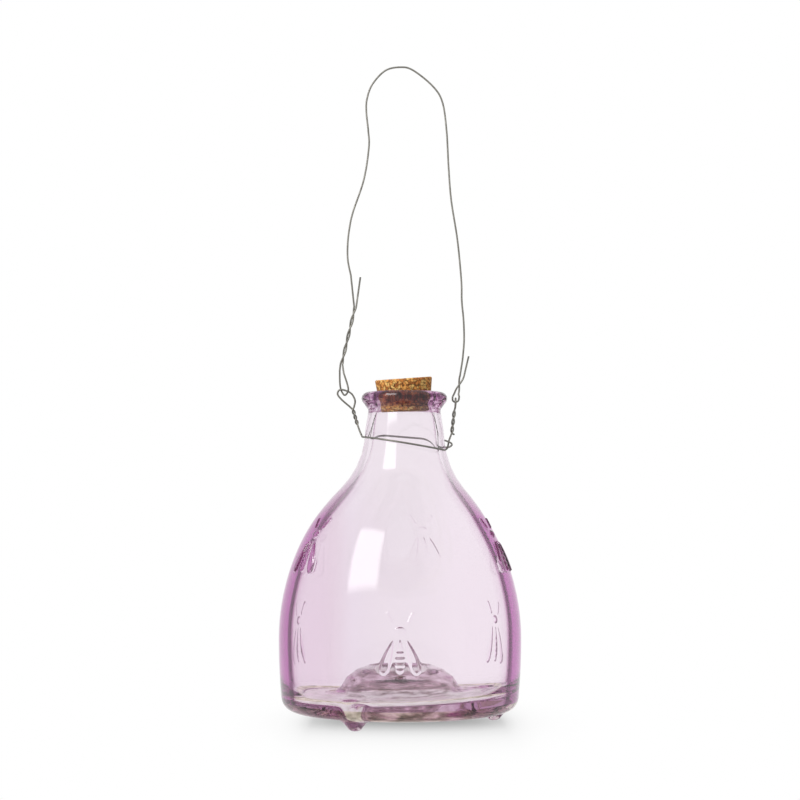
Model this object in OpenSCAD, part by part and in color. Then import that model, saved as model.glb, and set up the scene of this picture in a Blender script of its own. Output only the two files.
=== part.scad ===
// Hanging glass insect trap: a bell-shaped jar with an entry funnel in its base,
// a tapered cork, a wire twisted round the neck and a wire hanger linked to it.
// Millimetres. +Z is up, the jar's axis is Z, and the feet stand on Z = 0.
// The front is -Y. Angles round the jar run from the front towards +X.

/* [Jar outside] */
// Widest outside diameter of the jar
body_d = 120; // [105:1:140]
// Height of the widest line above the feet's pads
widest_z = 41; // [34:1:50]
// Height of the shoulder and the flare, from the widest line to the neck
shoulder_h = 102; // [90:1:130]
// Outside diameter of the neck at its foot
neck_d = 39.4; // [36:0.2:46]
// Outside diameter of the neck under the rim
neck_top_d = 35.8; // [33:0.2:42]
// Length of the neck
neck_l = 10.5; // [6:0.5:30]
// Radius of the hollow curve between the shoulder and the neck
flare_r = 42; // [30:1:55]
// Radius of the slow curve below the widest line
lower_r = 300; // [250:10:600]
// Radius of the heel
heel_r = 7; // [4:0.5:9]

/* [Jar wall] */
// Wall thickness at the widest line
wall_body = 5.5; // [4:0.25:8]
// Wall thickness of the neck
wall_neck = 3.9; // [2.6:0.1:4.6]
// Thickness of the base
base_t = 7.25; // [4:0.25:9]
// Radius in the corner between the wall and the floor
floor_r = 6.5; // [2:0.5:9]

/* [Rim and mouth] */
// Outside diameter of the rim
rim_d = 43; // [39:0.5:50]
// Height of the rim above the neck
rim_h = 9; // [7:0.25:12]
// Radius of the rim's outer edge
rim_edge_r = 3.1; // [2:0.1:3.4]
// Diameter of the mouth
mouth_d = 27.6; // [24:0.2:30]
// Depth of the straight mouth below the rim's top
mouth_l = 8.5; // [6:0.25:10]
// Radius of the mouth's top edge
mouth_edge_r = 2; // [1:0.1:2.6]

/* [Entry funnel] */
// Diameter of the hole that insects enter by
hole_d = 24; // [20:1:32]
// Length of the straight throat of the funnel
throat_l = 5; // [3:0.5:8]
// Height of the funnel's lip above the floor
funnel_h = 17; // [12:0.5:30]
// Thickness of the funnel's glass at its lip
funnel_t = 4; // [3:0.25:6]
// Diameter of the funnel's opening in the underside
funnel_d = 60; // [48:1:66]
// Thickness of the funnel's wall below the lip
funnel_wall = 5; // [4:0.25:6]
// Radius between the funnel and the floor
funnel_foot_r = 4; // [2:0.5:6]

/* [Feet] */
// Number of feet
foot_count = 3; // [3:1:6]
// Turn of the first foot from the front
foot_turn = -27; // [-60:1:60]
// Distance of a foot's centre from the side of the jar
foot_inset = 13.5; // [12:0.5:16]
// Height of the feet below the base
foot_h = 5.25; // [4:0.25:9]
// Diameter of a foot's flat pad
foot_pad_d = 5; // [3:0.5:9]
// Diameter of a foot where it joins the base
foot_root_d = 14; // [10:0.5:18]
// Radius of a foot's lower edge
foot_edge_r = 2; // [1:0.25:2.5]
// Depth of the dimple in the floor above each foot
dimple_depth = 3; // [1:0.25:4]
// Radius of the ball that shapes the dimple
dimple_r = 8; // [5:0.5:9]
// Distance of a dimple's centre inwards of its foot
dimple_shift = 3; // [2:0.5:5]

/* [Bees] */
// Turns of the bees in the lower row from the front
bee_low_turns = [0, 119, 249];
// Turns of the bees in the upper row from the front
bee_high_turns = [-60, 74, 165];
// Height of the middle of the lower row
bee_low_z = 42; // [36:1:46]
// Height of the middle of the upper row
bee_high_z = 87; // [80:1:94]
// How far a bee stands out of the glass
bee_relief = 0.9; // [0.5:0.1:1.3]
// Length of a bee's abdomen
abdomen_l = 15.5; // [12:0.5:19]
// Width of a bee's abdomen
abdomen_w = 4.5; // [4:0.25:6]
// Number of stripes on the abdomen
stripe_count = 5; // [3:1:7]
// Length of a wing
wing_l = 17.5; // [14:0.5:21]
// Width of a wing near its tip
wing_w = 5; // [4:0.25:6]
// Angle that a wing spreads from the abdomen
wing_spread = 17; // [12:1:25]
// Distance of a wing's middle from the middle of the bee
wing_out = 5.6; // [5.2:0.2:7]
// Distance of the wings and the abdomen from the middle of the bee, below it
wing_drop = -6; // [-7:0.2:-5]
// Diameter of a bee's head
head_d = 5; // [4:0.2:5.6]
// Length of a feeler
feeler_l = 7; // [5:0.5:9]
// Diameter of a feeler
feeler_d = 1.2; // [0.8:0.1:1.6]
// Angle that a feeler spreads
feeler_spread = 27; // [15:1:35]
// Distance of a feeler's middle from the middle of the bee
feeler_out = 4.8; // [3.4:0.2:5.4]
// Gap between a bee's head and its abdomen
bee_waist = 1.6; // [0.6:0.1:2.4]
// Gap between a bee's head and its feelers
feeler_gap = 0.4; // [0.3:0.1:1.5]

/* [Cork] */
// Length of the cork
cork_l = 16; // [13:0.5:22]
// Length of the cork that is inside the mouth
cork_in = 9; // [6:0.5:11]
// Angle of the cork's side
cork_taper = 7; // [4:0.5:9]
// Tilt of the cork in the mouth
cork_tilt = 4; // [0:0.5:5]
// Clearance between the cork and the mouth's edge
cork_gap = 0.4; // [0.3:0.05:0.6]
// Chamfer on the cork's edges
cork_edge = 0.5; // [0.2:0.1:1]

/* [Wire] */
// Diameter of the wire
wire_d = 0.9; // [0.7:0.05:1.1]
// Gap between two strands that are twisted together
strand_gap = 0.15; // [0.1:0.05:0.3]
// Gap between the neck wire and the glass
collar_gap = 0.3; // [0.2:0.05:0.6]
// Distance of the neck wire's middle below the foot of the neck
collar_drop = 6.5; // [4:0.5:9]
// Fall of the neck wire towards the right
collar_tilt = 9.4; // [0:0.2:11]
// Rise of the neck wire behind the neck
collar_back = 4.3; // [0:0.1:5]
// How much more it rises at the right of the back than in the middle
collar_back_right = 2.2; // [0:0.1:2.5]
// Turns in the left eye's twist
left_turns = 1.5; // [0.5:1:1.5]
// Turns in the right eye's twist
right_turns = 1.5; // [0.5:1:1.5]
// Distance of the left link from the side of the rim
left_out = 8.4; // [7.6:0.2:14]
// Height of the left link above the left of the neck wire
left_rise = 23.5; // [20:0.1:28]
// Distance of the right link from the side of the rim
right_out = 4.1; // [3.5:0.1:9]
// Height of the right link above the right of the neck wire
right_rise = 24.6; // [22:0.1:29]

/* [Hanger] */
// Height of the hanger above its left link
hanger_rise = 164; // [120:1:220]
// Turns in the twist above the hanger's left loop
hanger_turns = 2; // [1:0.5:3]
// Length of the hanger's left loop
loop_l = 13; // [12:0.5:18]
// Length of the twist above the left loop
hanger_twist_l = 29; // [20:1:34]
// Radius of the loose twist above the right loop
loose_r = 1; // [0.8:0.05:1.2]
// Turns in the loose twist above the right loop
loose_turns = 0.5; // [0.5:1:1.5]

/* [Hidden] */
$fn = 96;

wire_r = wire_d / 2;
strand_r = (wire_d + strand_gap) / 2;
// Depth to which a bee is rooted in the wall, share of a stripe that is left as a groove,
// and the bands of the skin that trims the bees
bee_root = 3;
stripe_gap = 0.28;
skin_bands = 18;
// Height inside the base at which a foot reaches its full width
foot_sink = 0.6;
// Sides of the wire's round and the spacing of the rings along it
wire_sides = 8;
ring_step = 3;
bend_step = 1.1;

body_r = body_d / 2;
neck_r = neck_d / 2;
rim_r = rim_d / 2;
mouth_r = mouth_d / 2;
hole_r = hole_d / 2;
base_z = foot_h;
floor_z = base_z + base_t;
lip_z = floor_z + funnel_h;
waist_z = widest_z + shoulder_h;
rim_z = waist_z + neck_l;
glass_h = rim_z + rim_h;
collar_z = waist_z - collar_drop;

// The jar's wall is a slow curve below the widest line, a shoulder above it that runs into
// a hollow flare, and a tapering neck. The shoulder's radius is the one that meets the flare.
function draw_in(r, dz) = r - sqrt(r * r - dz * dz);
function shoulder_r(rb, rn, fr) =
    (pow(rb - rn, 2) + pow(waist_z - widest_z, 2)) / (2 * (rb - rn)) - fr;
function join_z(sr, fr) = widest_z + (waist_z - widest_z) * sr / (sr + fr);
function wall_r(z, rb, rn, fr, sr) =
    z < widest_z ? rb - draw_in(lower_r, widest_z - z)
    : z < join_z(sr, fr) ? rb - draw_in(sr, z - widest_z)
    : z < waist_z ? rn + draw_in(fr, waist_z - z)
    : rn - (z - waist_z) * (neck_d - neck_top_d) / 2 / neck_l;
function outer_r(z) = wall_r(z, body_r, neck_r, flare_r, shoulder_r(body_r, neck_r, flare_r));
bore_body_r = body_r - wall_body;
bore_neck_r = neck_r - wall_neck;
bore_flare_r = flare_r + wall_neck;
function inner_r(z) = wall_r(z, bore_body_r, bore_neck_r, bore_flare_r,
    shoulder_r(bore_body_r, bore_neck_r, bore_flare_r));

function arc(c, r, from, to, steps = 6) =
    [for (i = [0 : steps]) let (a = from + (to - from) * i / steps) c + r * [cos(a), sin(a)]];
function wall_points(low, high, steps, inside) =
    [for (i = [0 : steps]) let (z = low + (high - low) * i / steps)
        [inside ? inner_r(z) : outer_r(z), z]];

// Section of the glass, from the underside round the outside, the rim, the inside and the funnel
heel_top = base_z + heel_r;
heel_c = [outer_r(heel_top) - heel_r, heel_top];
rim_c = [rim_r - rim_edge_r, glass_h - rim_edge_r];
mouth_c = [mouth_r + mouth_edge_r, glass_h - mouth_edge_r];
mouth_z = glass_h - mouth_l;
// The bore below the mouth opens out to the neck's inside over this length
mouth_run = 5;
floor_c = [inner_r(floor_z + floor_r) - floor_r, floor_z + floor_r];
lip_r = funnel_t / 2;
lip_c = [hole_r + lip_r, lip_z - lip_r];
throat_z = lip_c[1] - throat_l;
mouth_in = [funnel_d / 2, base_z];
hole_edge = 1.5;
// The funnel is a low dome from its lip down to its foot
dome_r = funnel_d / 2 - 0.5 - lip_c[0];
dome_c = [lip_c[0], lip_z - dome_r];
foot_c = [funnel_d / 2 + funnel_foot_r, floor_z + funnel_foot_r];
dome_from = max(0, asin((foot_c[1] + 1 - dome_c[1]) / dome_r));
rim_under = -50;

module glass_section() {
    polygon(concat(
        [mouth_in + [hole_edge, 0]],
        arc(heel_c, heel_r, -90, 0),
        wall_points(heel_top + 1, rim_z, 28, false),
        arc(rim_c, rim_edge_r, rim_under, 90, 8),
        arc(mouth_c, mouth_edge_r, 90, 180),
        [[mouth_r, mouth_z]],
        wall_points(mouth_z - mouth_run, floor_c[1], 24, true),
        arc(floor_c, floor_r, -10, -90),
        arc(foot_c, funnel_foot_r, -90, -160, 5),
        arc(dome_c, dome_r, dome_from, 90, 8),
        arc(lip_c, lip_r, 110, 180, 4),
        [[hole_r, throat_z]],
        arc(dome_c, dome_r - funnel_wall, 50, 0, 5),
        [mouth_in + [-hole_edge / 2, hole_edge]]
    ));
}

// A place on the outside of the jar, and the lean of the wall there
function lean(z) = atan2(outer_r(z - 1) - outer_r(z + 1), 2);
module on_wall(turn, z) {
    rotate([0, 0, turn])
        translate([0, -outer_r(z), z])
            rotate([-lean(z), 0, 0])
                children();
}

module around(count, first = 0) {
    for (i = [0 : count - 1]) rotate([0, 0, first + i * 360 / count]) children();
}

module foot() {
    pad_r = foot_pad_d / 2;
    root_r = foot_root_d / 2;
    edge_c = [pad_r, foot_edge_r];
    top = base_z + base_t * 3 / 4;
    translate([0, foot_inset - body_r, 0])
        rotate_extrude()
            polygon(concat(
                [[0, 0]],
                arc(edge_c, foot_edge_r, -90, -20, 4),
                [[root_r, base_z + foot_sink], [root_r, top], [0, top]]
            ));
}

module dimple() {
    translate([0, foot_inset + dimple_shift - body_r, floor_z + dimple_r - dimple_depth])
        sphere(r = dimple_r);
}

// Half the width of a seed shape at a share of its length, widest at the belly
function seed_w(t, w, belly) = w / 2 * sin(180 * pow(t, ln(0.5) / ln(belly)));
module seed(l, w, belly, steps = 9) {
    polygon(concat(
        [for (i = [0 : steps]) [seed_w(i / steps, w, belly), l * (0.5 - i / steps)]],
        [for (i = [steps - 1 : -1 : 1]) [-seed_w(i / steps, w, belly), l * (0.5 - i / steps)]]
    ));
}

// One stripe of the abdomen
module stripe(i) {
    t = [(i + stripe_gap) / stripe_count, (i + 1) / stripe_count - 0.01];
    w = [for (k = t) seed_w(k, abdomen_w, 0.5)];
    y = [for (k = t) abdomen_l * (0.5 - k)];
    polygon([[-w[0], y[0]], [-w[1], y[1]], [w[1], y[1]], [w[0], y[0]]]);
}

// A bee, head up, with its middle at the given turn and height. It is cut as a block that stands
// well out of the wall and is rooted in it, and the skin then trims it to the relief.
module bee_block(turn, z) {
    on_wall(turn, z)
        translate([0, bee_root, 0])
            rotate([90, 0, 0])
                linear_extrude(2 * bee_root + bee_relief) children();
}

module bee(turn, z) {
    head_y = wing_drop + abdomen_l / 2 + bee_waist + head_d / 2;
    feeler_y = head_y + head_d / 2 + feeler_gap + feeler_l / 2 * cos(feeler_spread);
    for (i = [0 : stripe_count - 1])
        bee_block(turn, z) translate([0, wing_drop]) stripe(i);
    bee_block(turn, z) translate([0, head_y]) circle(d = head_d);
    for (side = [-1, 1]) {
        bee_block(turn, z)
            translate([side * wing_out, wing_drop]) rotate(side * wing_spread) seed(wing_l, wing_w, 0.72);
        bee_block(turn, z)
            translate([side * feeler_out, feeler_y]) rotate(-side * feeler_spread)
                square([feeler_d, feeler_l], center = true);
    }
}

// The outside of the jar, grown by the relief
module bee_skin() {
    low = bee_low_z - wing_l;
    high = bee_high_z + wing_l;
    rotate_extrude()
        polygon(concat(
            [[0, low]],
            [for (i = [0 : skin_bands]) let (z = low + (high - low) * i / skin_bands)
                [outer_r(z) + bee_relief / cos(lean(z)), z]],
            [[0, high]]
        ));
}

module glass_jar() {
    color([0.84, 0.68, 0.86, 0.45])
        union() {
            difference() {
                union() {
                    rotate_extrude() glass_section();
                    around(foot_count, foot_turn) foot();
                }
                around(foot_count, foot_turn) dimple();
            }
            intersection() {
                bee_skin();
                union() {
                    for (turn = bee_low_turns) bee(turn, bee_low_z);
                    for (turn = bee_high_turns) bee(turn, bee_high_z);
                }
            }
        }
}

// The cork's side lies the clearance inside the mouth's edge, and its axis leans to the left
module cork_stopper() {
    seat_r = mouth_r - cork_gap;
    top_r = seat_r + (cork_l - cork_in) * tan(cork_taper);
    foot_r = seat_r - cork_in * tan(cork_taper);
    color([0.72, 0.52, 0.30])
        translate([0, 0, glass_h])
            rotate([0, -cork_tilt, 0])
                translate([0, 0, -cork_in])
                    rotate_extrude()
                        polygon([
                            [0, 0], [foot_r - cork_edge, 0], [foot_r, cork_edge],
                            [top_r, cork_l - cork_edge], [top_r - cork_edge, cork_l], [0, cork_l]
                        ]);
}

// Paths of the wires
function unit(v) = v / norm(v);
function spline(a, b, c, d, t) = 0.5 * (2 * b + (c - a) * t + (2 * a - 5 * b + 4 * c - d) * t * t
    + (3 * b - a - 3 * c + d) * t * t * t);
// A smooth line through hand-set points, with points of its own every step
function through(p, step) = [for (i = [0 : len(p) - 2])
    let (n = max(1, ceil(norm(p[i + 1] - p[i]) / step)))
        for (k = [0 : i == len(p) - 2 ? n : n - 1])
            spline(p[max(i - 1, 0)], p[i], p[i + 1], p[min(i + 2, len(p) - 1)], k / n)];
// One strand of a twist that runs from one point to another, starting at an angle from +X
function strand(from, to, r, turns, start, steps) =
    let (t = unit(to - from), v = [0, 1, 0], u = unit(cross(v, t)))
        [for (i = [0 : steps]) let (a = start + 360 * turns * i / steps)
            from + (to - from) * i / steps + r * (cos(a) * u + sin(a) * v)];
function reversed(p) = [for (i = [len(p) - 1 : -1 : 0]) p[i]];
function moved(p, d) = [for (q = p) q + d];

// The tube that a wire fills along its path
module wire(path) {
    last = len(path) - 1;
    t = [for (i = [0 : last]) unit(path[min(i + 1, last)] - path[max(i - 1, 0)])];
    n = [for (i = 0, v = unit(cross(t[0], [0.3, 1, 0.2])); i <= last; i = i + 1,
        v = i <= last ? unit(v - t[i] * (v * t[i])) : v) v];
    s = wire_sides;
    rings = [for (i = [0 : last]) for (k = [0 : s - 1])
        let (a = 360 * k / s) path[i] + wire_r * (cos(a) * n[i] + sin(a) * cross(t[i], n[i]))];
    sides = [for (i = [0 : last - 1]) for (k = [0 : s - 1])
        let (a = i * s + k, b = i * s + (k + 1) % s) each [[a, a + s, b], [b, a + s, b + s]]];
    ends = [for (k = [1 : s - 2]) each [[0, k, k + 1], [last * s, last * s + k + 1, last * s + k]]];
    polyhedron(points = rings, faces = concat(sides, ends));
}

// The neck wire lies round the neck. It falls towards the right and rises behind.
function collar_r(z) = outer_r(z) + collar_gap + wire_r;
function ease(t) = let (s = max(0, min(1, t))) s * s * (3 - 2 * s);
function collar_point(a) =
    let (
        rise = ease(sin(a) / 0.9) * (collar_back + collar_back_right * cos(a)),
        z = collar_z - tan(collar_tilt) * collar_r(collar_z) * cos(a) + rise,
        r = collar_r(z)
    )
    [r * cos(a), r * sin(a), z];
function collar(from, to) = let (n = ceil(abs(to - from) / 360 * 2 * PI * neck_r / ring_step))
    [for (i = [0 : n]) collar_point(from + (to - from) * i / n)];
left_side = collar_point(180);
right_side = collar_point(0);

// Twists that stand out from the neck on both sides, and the eyes at their ends
left_link = [-rim_r - left_out, 0, left_side[2] + left_rise];
right_link = [rim_r + right_out, 0, right_side[2] + right_rise];
left_twist = [left_side + [-2.9, 0, 6.4], left_link + [4.2, 0, -9.7]];
right_twist = [right_side + [2, 0, 9], right_link + [-0.6, 0, -4.2]];
left_eye = moved([[4.8, -0.3, -8], [5.2, -0.2, -5], [3.4, 0, -1.6], [0, 0, 0.1], [-2.6, 0, 0.2],
    [-3.5, 0, -1.9], [-1.6, 0.2, -4.5], [2.2, 0.4, -7.8]], left_link);
right_eye = moved([[-0.2, 1.6, -2.8], [0, 2.6, -0.6], [0, 1.9, 1.3], [0, 0, 1.9],
    [0, -1.9, 1.3], [0, -2.6, -0.6], [-0.2, -1.6, -2.8]], right_link);
// The end that hooks round the right twist's foot, the cut end outside it, and the points at
// which the wire leaves the neck for the twists
hook_end = moved([[-1.7, -6.7, 5.2], [0, -5.7, 4.6], [1.4, -4.2, 4], [2, -2, 3.4],
    [1.8, 0.8, 2.8], [0.6, 4, 2.2]], right_side);
cut_end = right_side + [3.3, 1, 8.4];
left_lead = moved([[-0.4, 2.6, 0.3], [-1.1, 1.7, 1.6], [-2, 1.1, 3.8]], left_side);
right_lead = moved([[-0.3, -5.3, 1.5], [0.4, -3.2, 4.8], [1.3, -1.4, 7.2]], right_side);
function mirrored(p) = [for (q = p) [q[0], -q[1], q[2]]];
twist_steps = 16;

function neck_wire_path() =
    let (
        up_left = strand(left_twist[0], left_twist[1], strand_r, left_turns, 90, twist_steps),
        down_left = reversed(strand(left_twist[0], left_twist[1], strand_r, left_turns, 270, twist_steps)),
        up_right = strand(right_twist[0], right_twist[1], strand_r, right_turns, 270, twist_steps),
        down_right = reversed(strand(right_twist[0], right_twist[1], strand_r, right_turns, 90, twist_steps))
    )
    concat(
        through(concat(hook_end, [collar_point(20)]), bend_step),
        collar(26, 154),
        through(concat([collar_point(160)], left_lead), bend_step),
        up_left,
        through(left_eye, bend_step),
        down_left,
        through(concat(mirrored(reversed(left_lead)), [collar_point(200)]), bend_step),
        collar(206, 330),
        through(concat([collar_point(337)], right_lead), bend_step),
        up_right,
        through(right_eye, bend_step),
        down_right,
        [cut_end]
    );

module neck_wire() {
    color([0.55, 0.55, 0.52]) wire(neck_wire_path());
}

// The hanger's left loop hangs in the left eye, its two strands on either side of the eye's wire
left_loop = moved([[-0.4, -0.8, 8.5], [1.5, -1.5, 2.6], [1.8, -1.6, -0.4], [0.1, 0, -2.4],
    [-1.7, 1.6, 0], [-2.4, 1.3, 3.7], [-2.5, 0.6, 10]], left_link);
hanger_twist = [left_link + [-1.6, 0, loop_l], left_link + [5.2, 0, loop_l + hanger_twist_l]];
left_tail = left_link + [7.8, 0, loop_l + hanger_twist_l + 15];
right_loop = moved([[1.8, 0, 2.6], [1.4, 0, 0.7], [0, 0, 0], [-1.4, 0, 0.7], [-1.5, 0, 2.6]], right_link);
loose_twist = [right_link + [0.5, 0, 4.4], right_link + [3.2, 0, 13]];
right_tail = right_link + [6.6, 0, 23];

// Sideways wander of the hanger from its links and the share of the rise at which it is reached
left_leg = [[3, 0.354], [1.5, 0.4], [1.4, 0.45], [2.3, 0.5], [4.1, 0.55], [9.5, 0.65], [12, 0.75],
    [11.7, 0.8], [10.7, 0.86], [11, 0.9], [13.7, 0.946], [20.2, 0.989]];
right_leg = [[-21.3, 0.991], [-11.3, 0.943], [-6.4, 0.895], [-4.3, 0.81], [-3.3, 0.7], [-2, 0.6],
    [1.1, 0.48], [3, 0.36], [3.2, 0.3], [4.1, 0.24], [4.3, 0.18], [3.5, 0.124]];
hanger_top = left_link[2] + hanger_rise;
function leg(points, link) = [for (p = points)
    [link[0] + p[0], 0, link[2] + p[1] * (hanger_top - link[2])]];

function hanger_wire_path() =
    let (
        down = reversed(strand(hanger_twist[0], hanger_twist[1], strand_r, hanger_turns, 0, 2 * twist_steps)),
        up = strand(hanger_twist[0], hanger_twist[1], strand_r, hanger_turns, 180, 2 * twist_steps),
        loose_down = reversed(strand(loose_twist[0], loose_twist[1], loose_r, loose_turns, 0, twist_steps)),
        loose_up = strand(loose_twist[0], loose_twist[1], loose_r, loose_turns, 180, twist_steps),
        crown = [[(left_link[0] + right_link[0]) / 2, 0, hanger_top]]
    )
    concat(
        [left_tail],
        down,
        through(left_loop, bend_step),
        up,
        through(concat(leg(left_leg, left_link), crown, leg(right_leg, right_link)), ring_step),
        loose_down,
        through(right_loop, bend_step),
        loose_up,
        [right_tail]
    );

module hanger_wire() {
    color([0.55, 0.55, 0.52]) wire(hanger_wire_path());
}

glass_jar();
cork_stopper();
neck_wire();
hanger_wire();
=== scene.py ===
import bpy
import numpy as np
from mathutils import Matrix


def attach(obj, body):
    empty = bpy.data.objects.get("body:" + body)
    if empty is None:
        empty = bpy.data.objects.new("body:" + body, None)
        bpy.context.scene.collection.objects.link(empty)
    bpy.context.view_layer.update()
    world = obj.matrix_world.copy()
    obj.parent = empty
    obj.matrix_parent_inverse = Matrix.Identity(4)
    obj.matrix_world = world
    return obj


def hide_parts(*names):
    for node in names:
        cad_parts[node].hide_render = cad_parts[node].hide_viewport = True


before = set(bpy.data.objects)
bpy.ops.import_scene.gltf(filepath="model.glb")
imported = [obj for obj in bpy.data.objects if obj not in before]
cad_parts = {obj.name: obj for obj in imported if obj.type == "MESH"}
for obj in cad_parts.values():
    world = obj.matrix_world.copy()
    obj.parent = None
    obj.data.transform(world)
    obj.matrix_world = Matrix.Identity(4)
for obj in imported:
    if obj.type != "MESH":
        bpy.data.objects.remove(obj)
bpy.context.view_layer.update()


# The jar: one piece of thick pale violet glass, blown into a mould. A bell with a rolled rim, three
# small feet, a funnel pushed up through the base for the insects, and two rows of bees in relief.
# Pieces are in millimetres, materials in metres, and turns in degrees from the front to the right.
MM = 0.001
BODY_R, NECK_R, NECK_TOP_R = 60.0, 19.7, 17.9
WIDEST_Z, WAIST_Z, RIM_Z, GLASS_TOP = 41.0, 143.0, 153.5, 162.5
LOWER_R, FLARE_R, HEEL_R = 300.0, 42.0, 7.0
WALL_BODY, WALL_NECK = 5.5, 3.9
BASE_Z, FLOOR_Z, FLOOR_R = 5.25, 12.5, 6.5
RIM_R, RIM_EDGE_R, RIM_UNDER = 21.5, 3.1, -50.0
MOUTH_R, MOUTH_EDGE_R, MOUTH_L, MOUTH_RUN = 13.8, 2.0, 8.5, 5.0
HOLE_R, HOLE_EDGE, THROAT_L, LIP_T, LIP_Z = 12.0, 1.5, 5.0, 4.0, 29.5
FUNNEL_R, FUNNEL_WALL, FUNNEL_FOOT_R, FUNNEL_STEP, DOME_CLEAR = 30.0, 5.0, 4.0, 0.5, 1.0
CORNER_FROM, FUNNEL_FOOT_TO, LIP_FROM, HOLLOW_FROM = -10.0, -160.0, 110.0, 50.0
CORNER_SOFT, SECTION_STEPS, WALL_STEPS = 1.1, 8000, 400

# The lean of the bell, the bore set to the back, the slope of the floor, the feet and the dimples
# over them.
BODY_SHIFT, SHIFT_FROM, SHIFT_TO = -2.2, 90.0, 138.0
BORE_SHIFT, BORE_FROM, BORE_TO, BORE_BLEND = 1.5, 18.0, 125.0, 20.0
FLOOR_RISE, FLOOR_LOW, FLOOR_FADE = 0.03, 6.0, 12.0
FOOT_TURNS, FOOT_RING_R, FOOT_PAD_R, FOOT_ROOT_R = (-27.0, 93.0, 213.0), 46.5, 1.0, 7.0
FOOT_EDGE_R, FOOT_BEND, FOOT_FLARE, FOOT_BLEND = 3.2, np.radians(70.0), 1.5, 2.0
DIMPLE_RING_R, DIMPLE_BALL_R, DIMPLE_DEPTH, DIMPLE_BLEND = 43.5, 8.0, 3.0, 3.0
ABOVE_ALL = 50.0

# Each bee has its turn, its height, its share of the relief and its share of the dark violet edge
# tint, which is partly painted shade.
BEE_RELIEF, BEE_EDGE = 0.7, 3.0
BEE_PLACES = [
    (0, 42.0, 1.0, 0.25), (119, 42.0, 1.4, 1.0), (249, 42.0, 1.4, 1.0),
    (-60, 87.0, 1.4, 1.0), (74, 87.0, 1.4, 1.0), (165, 87.0, 0.6, 0.2)]
LEAF_POINT = 0.8
ABDOMEN_Y, ABDOMEN_L, ABDOMEN_W, ABDOMEN_BELLY, ABDOMEN_END = -5.9, 15.6, 4.8, 0.7, 0.05
STRIPES, GROOVE_DEPTH, GROOVE_FROM = 6, 0.55, 0.375
GROOVES_START, GROOVES_IN, GROOVES_END, GROOVES_OUT = 0.05, 0.3, 0.95, 0.1
WING_X, WING_Y, WING_L, WING_W, WING_SPREAD, WING_BELLY = 5.6, -6.0, 17.6, 5.0, 17.5, 0.8
WING_SOFT, WING_INSET, WING_END = (1.1, 0.8), 0.45, 0.7
HEAD_Y, HEAD_W, HEAD_H = 5.8, 5.6, 3.9
FEELER_X, FEELER_Y, FEELER_L, FEELER_W, FEELER_SPREAD = 4.9, 11.7, 6.8, 1.6, 27.0
FEELER_SHARE, FEELER_END = 0.65, 0.8

# The mesh is finer at the bees, the heel, the rim and the feet. The faces are told apart by how
# far their normals point outwards or up.
JAR_ROWS, JAR_COLUMNS = 232, 424
BEE_BANDS, HEEL_FINE_Z, HEEL_FINE_R, RIM_FINE_Z = ((27.0, 58.0), (72.0, 103.0)), 16.0, 38.0, 150.0
BEE_ROWS, HEEL_ROWS, RIM_ROWS = 12.0, 3.0, 4.0
BEE_COLUMNS, FOOT_COLUMNS, FINE_SIDE, BEE_FADE, FOOT_FADE = 7.0, 0.8, 10.0, 1.5, 2.0
OUT_FACE, OUT_CLEAR = 0.2, 0.2
UNDER_FACE, UNDER_TOP, FLOOR_FACE, FLOOR_TOP = -0.25, 20.0, -0.1, 22.0

# The bands of tint start at shares of the heel's and the floor's round corners, and at a height
# above the foot of the rim.
HEEL_BAND, WALL_BAND, CORNER_BAND, FLOOR_BAND, RIM_BAND = 0.02, 0.75, 0.6, 0.06, 1.0


def wall_radius(z, body, neck, flare):
    """Radius of the bell at height z: an arc of LOWER_R below the widest line, a shoulder arc
    above it that runs into a hollow arc of the flare's radius, and a straight tapering neck."""
    def sag(r, dz):
        """How far an arc of radius r has left its tangent at dz from where they touch."""
        return r - np.sqrt(np.maximum(r * r - dz * dz, 0.0))

    rise = WAIST_Z - WIDEST_Z
    shoulder = ((body - neck) ** 2 + rise**2) / (2 * (body - neck)) - flare
    join = WIDEST_Z + rise * shoulder / (shoulder + flare)
    taper = (NECK_R - NECK_TOP_R) / (RIM_Z - WAIST_Z)
    return np.select(
        [z < WIDEST_Z, z < join, z < WAIST_Z],
        [body - sag(LOWER_R, WIDEST_Z - z), body - sag(shoulder, z - WIDEST_Z),
         neck + sag(flare, WAIST_Z - z)],
        neck - (z - WAIST_Z) * taper)


def outer_radius(z):
    """Radius of the outside of the wall."""
    return wall_radius(z, BODY_R, NECK_R, FLARE_R)


def inner_radius(z):
    """Radius of the bore, which is the outside less the wall."""
    return wall_radius(z, BODY_R - WALL_BODY, NECK_R - WALL_NECK, FLARE_R + WALL_NECK)


def bend(centre, radius, start, end, count=24):
    """Points on a circle's arc, from one angle to another in degrees."""
    a = np.radians(np.linspace(start, end, count))
    return np.stack([centre[0] + radius * np.cos(a), centre[1] + radius * np.sin(a)], axis=1)


def spaced(start, end, count, weight, samples=8001):
    """Values from start up to end, without end, in equal steps of the integral of weight, so that
    they lie closer where the weight is larger."""
    x = np.linspace(start, end, samples)
    share = np.concatenate([[0.0], np.cumsum(weight(0.5 * (x[1:] + x[:-1])))])
    return np.interp(np.arange(count) / count, share / share[-1], x)


def smooth_step(x):
    """0 below 0, 1 above 1 and the cubic 3x^2 - 2x^3 between."""
    x = np.clip(x, 0.0, 1.0)
    return x * x * (3.0 - 2.0 * x)


def lesser(a, b, blend):
    """The smaller of two fields. Where they are within the blend of each other it is lowered by the
    square of their closeness, which rounds the corner where they cross."""
    h = np.maximum(blend - np.abs(a - b), 0.0) / blend
    return np.minimum(a, b) - h * h * blend / 4.0


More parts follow.
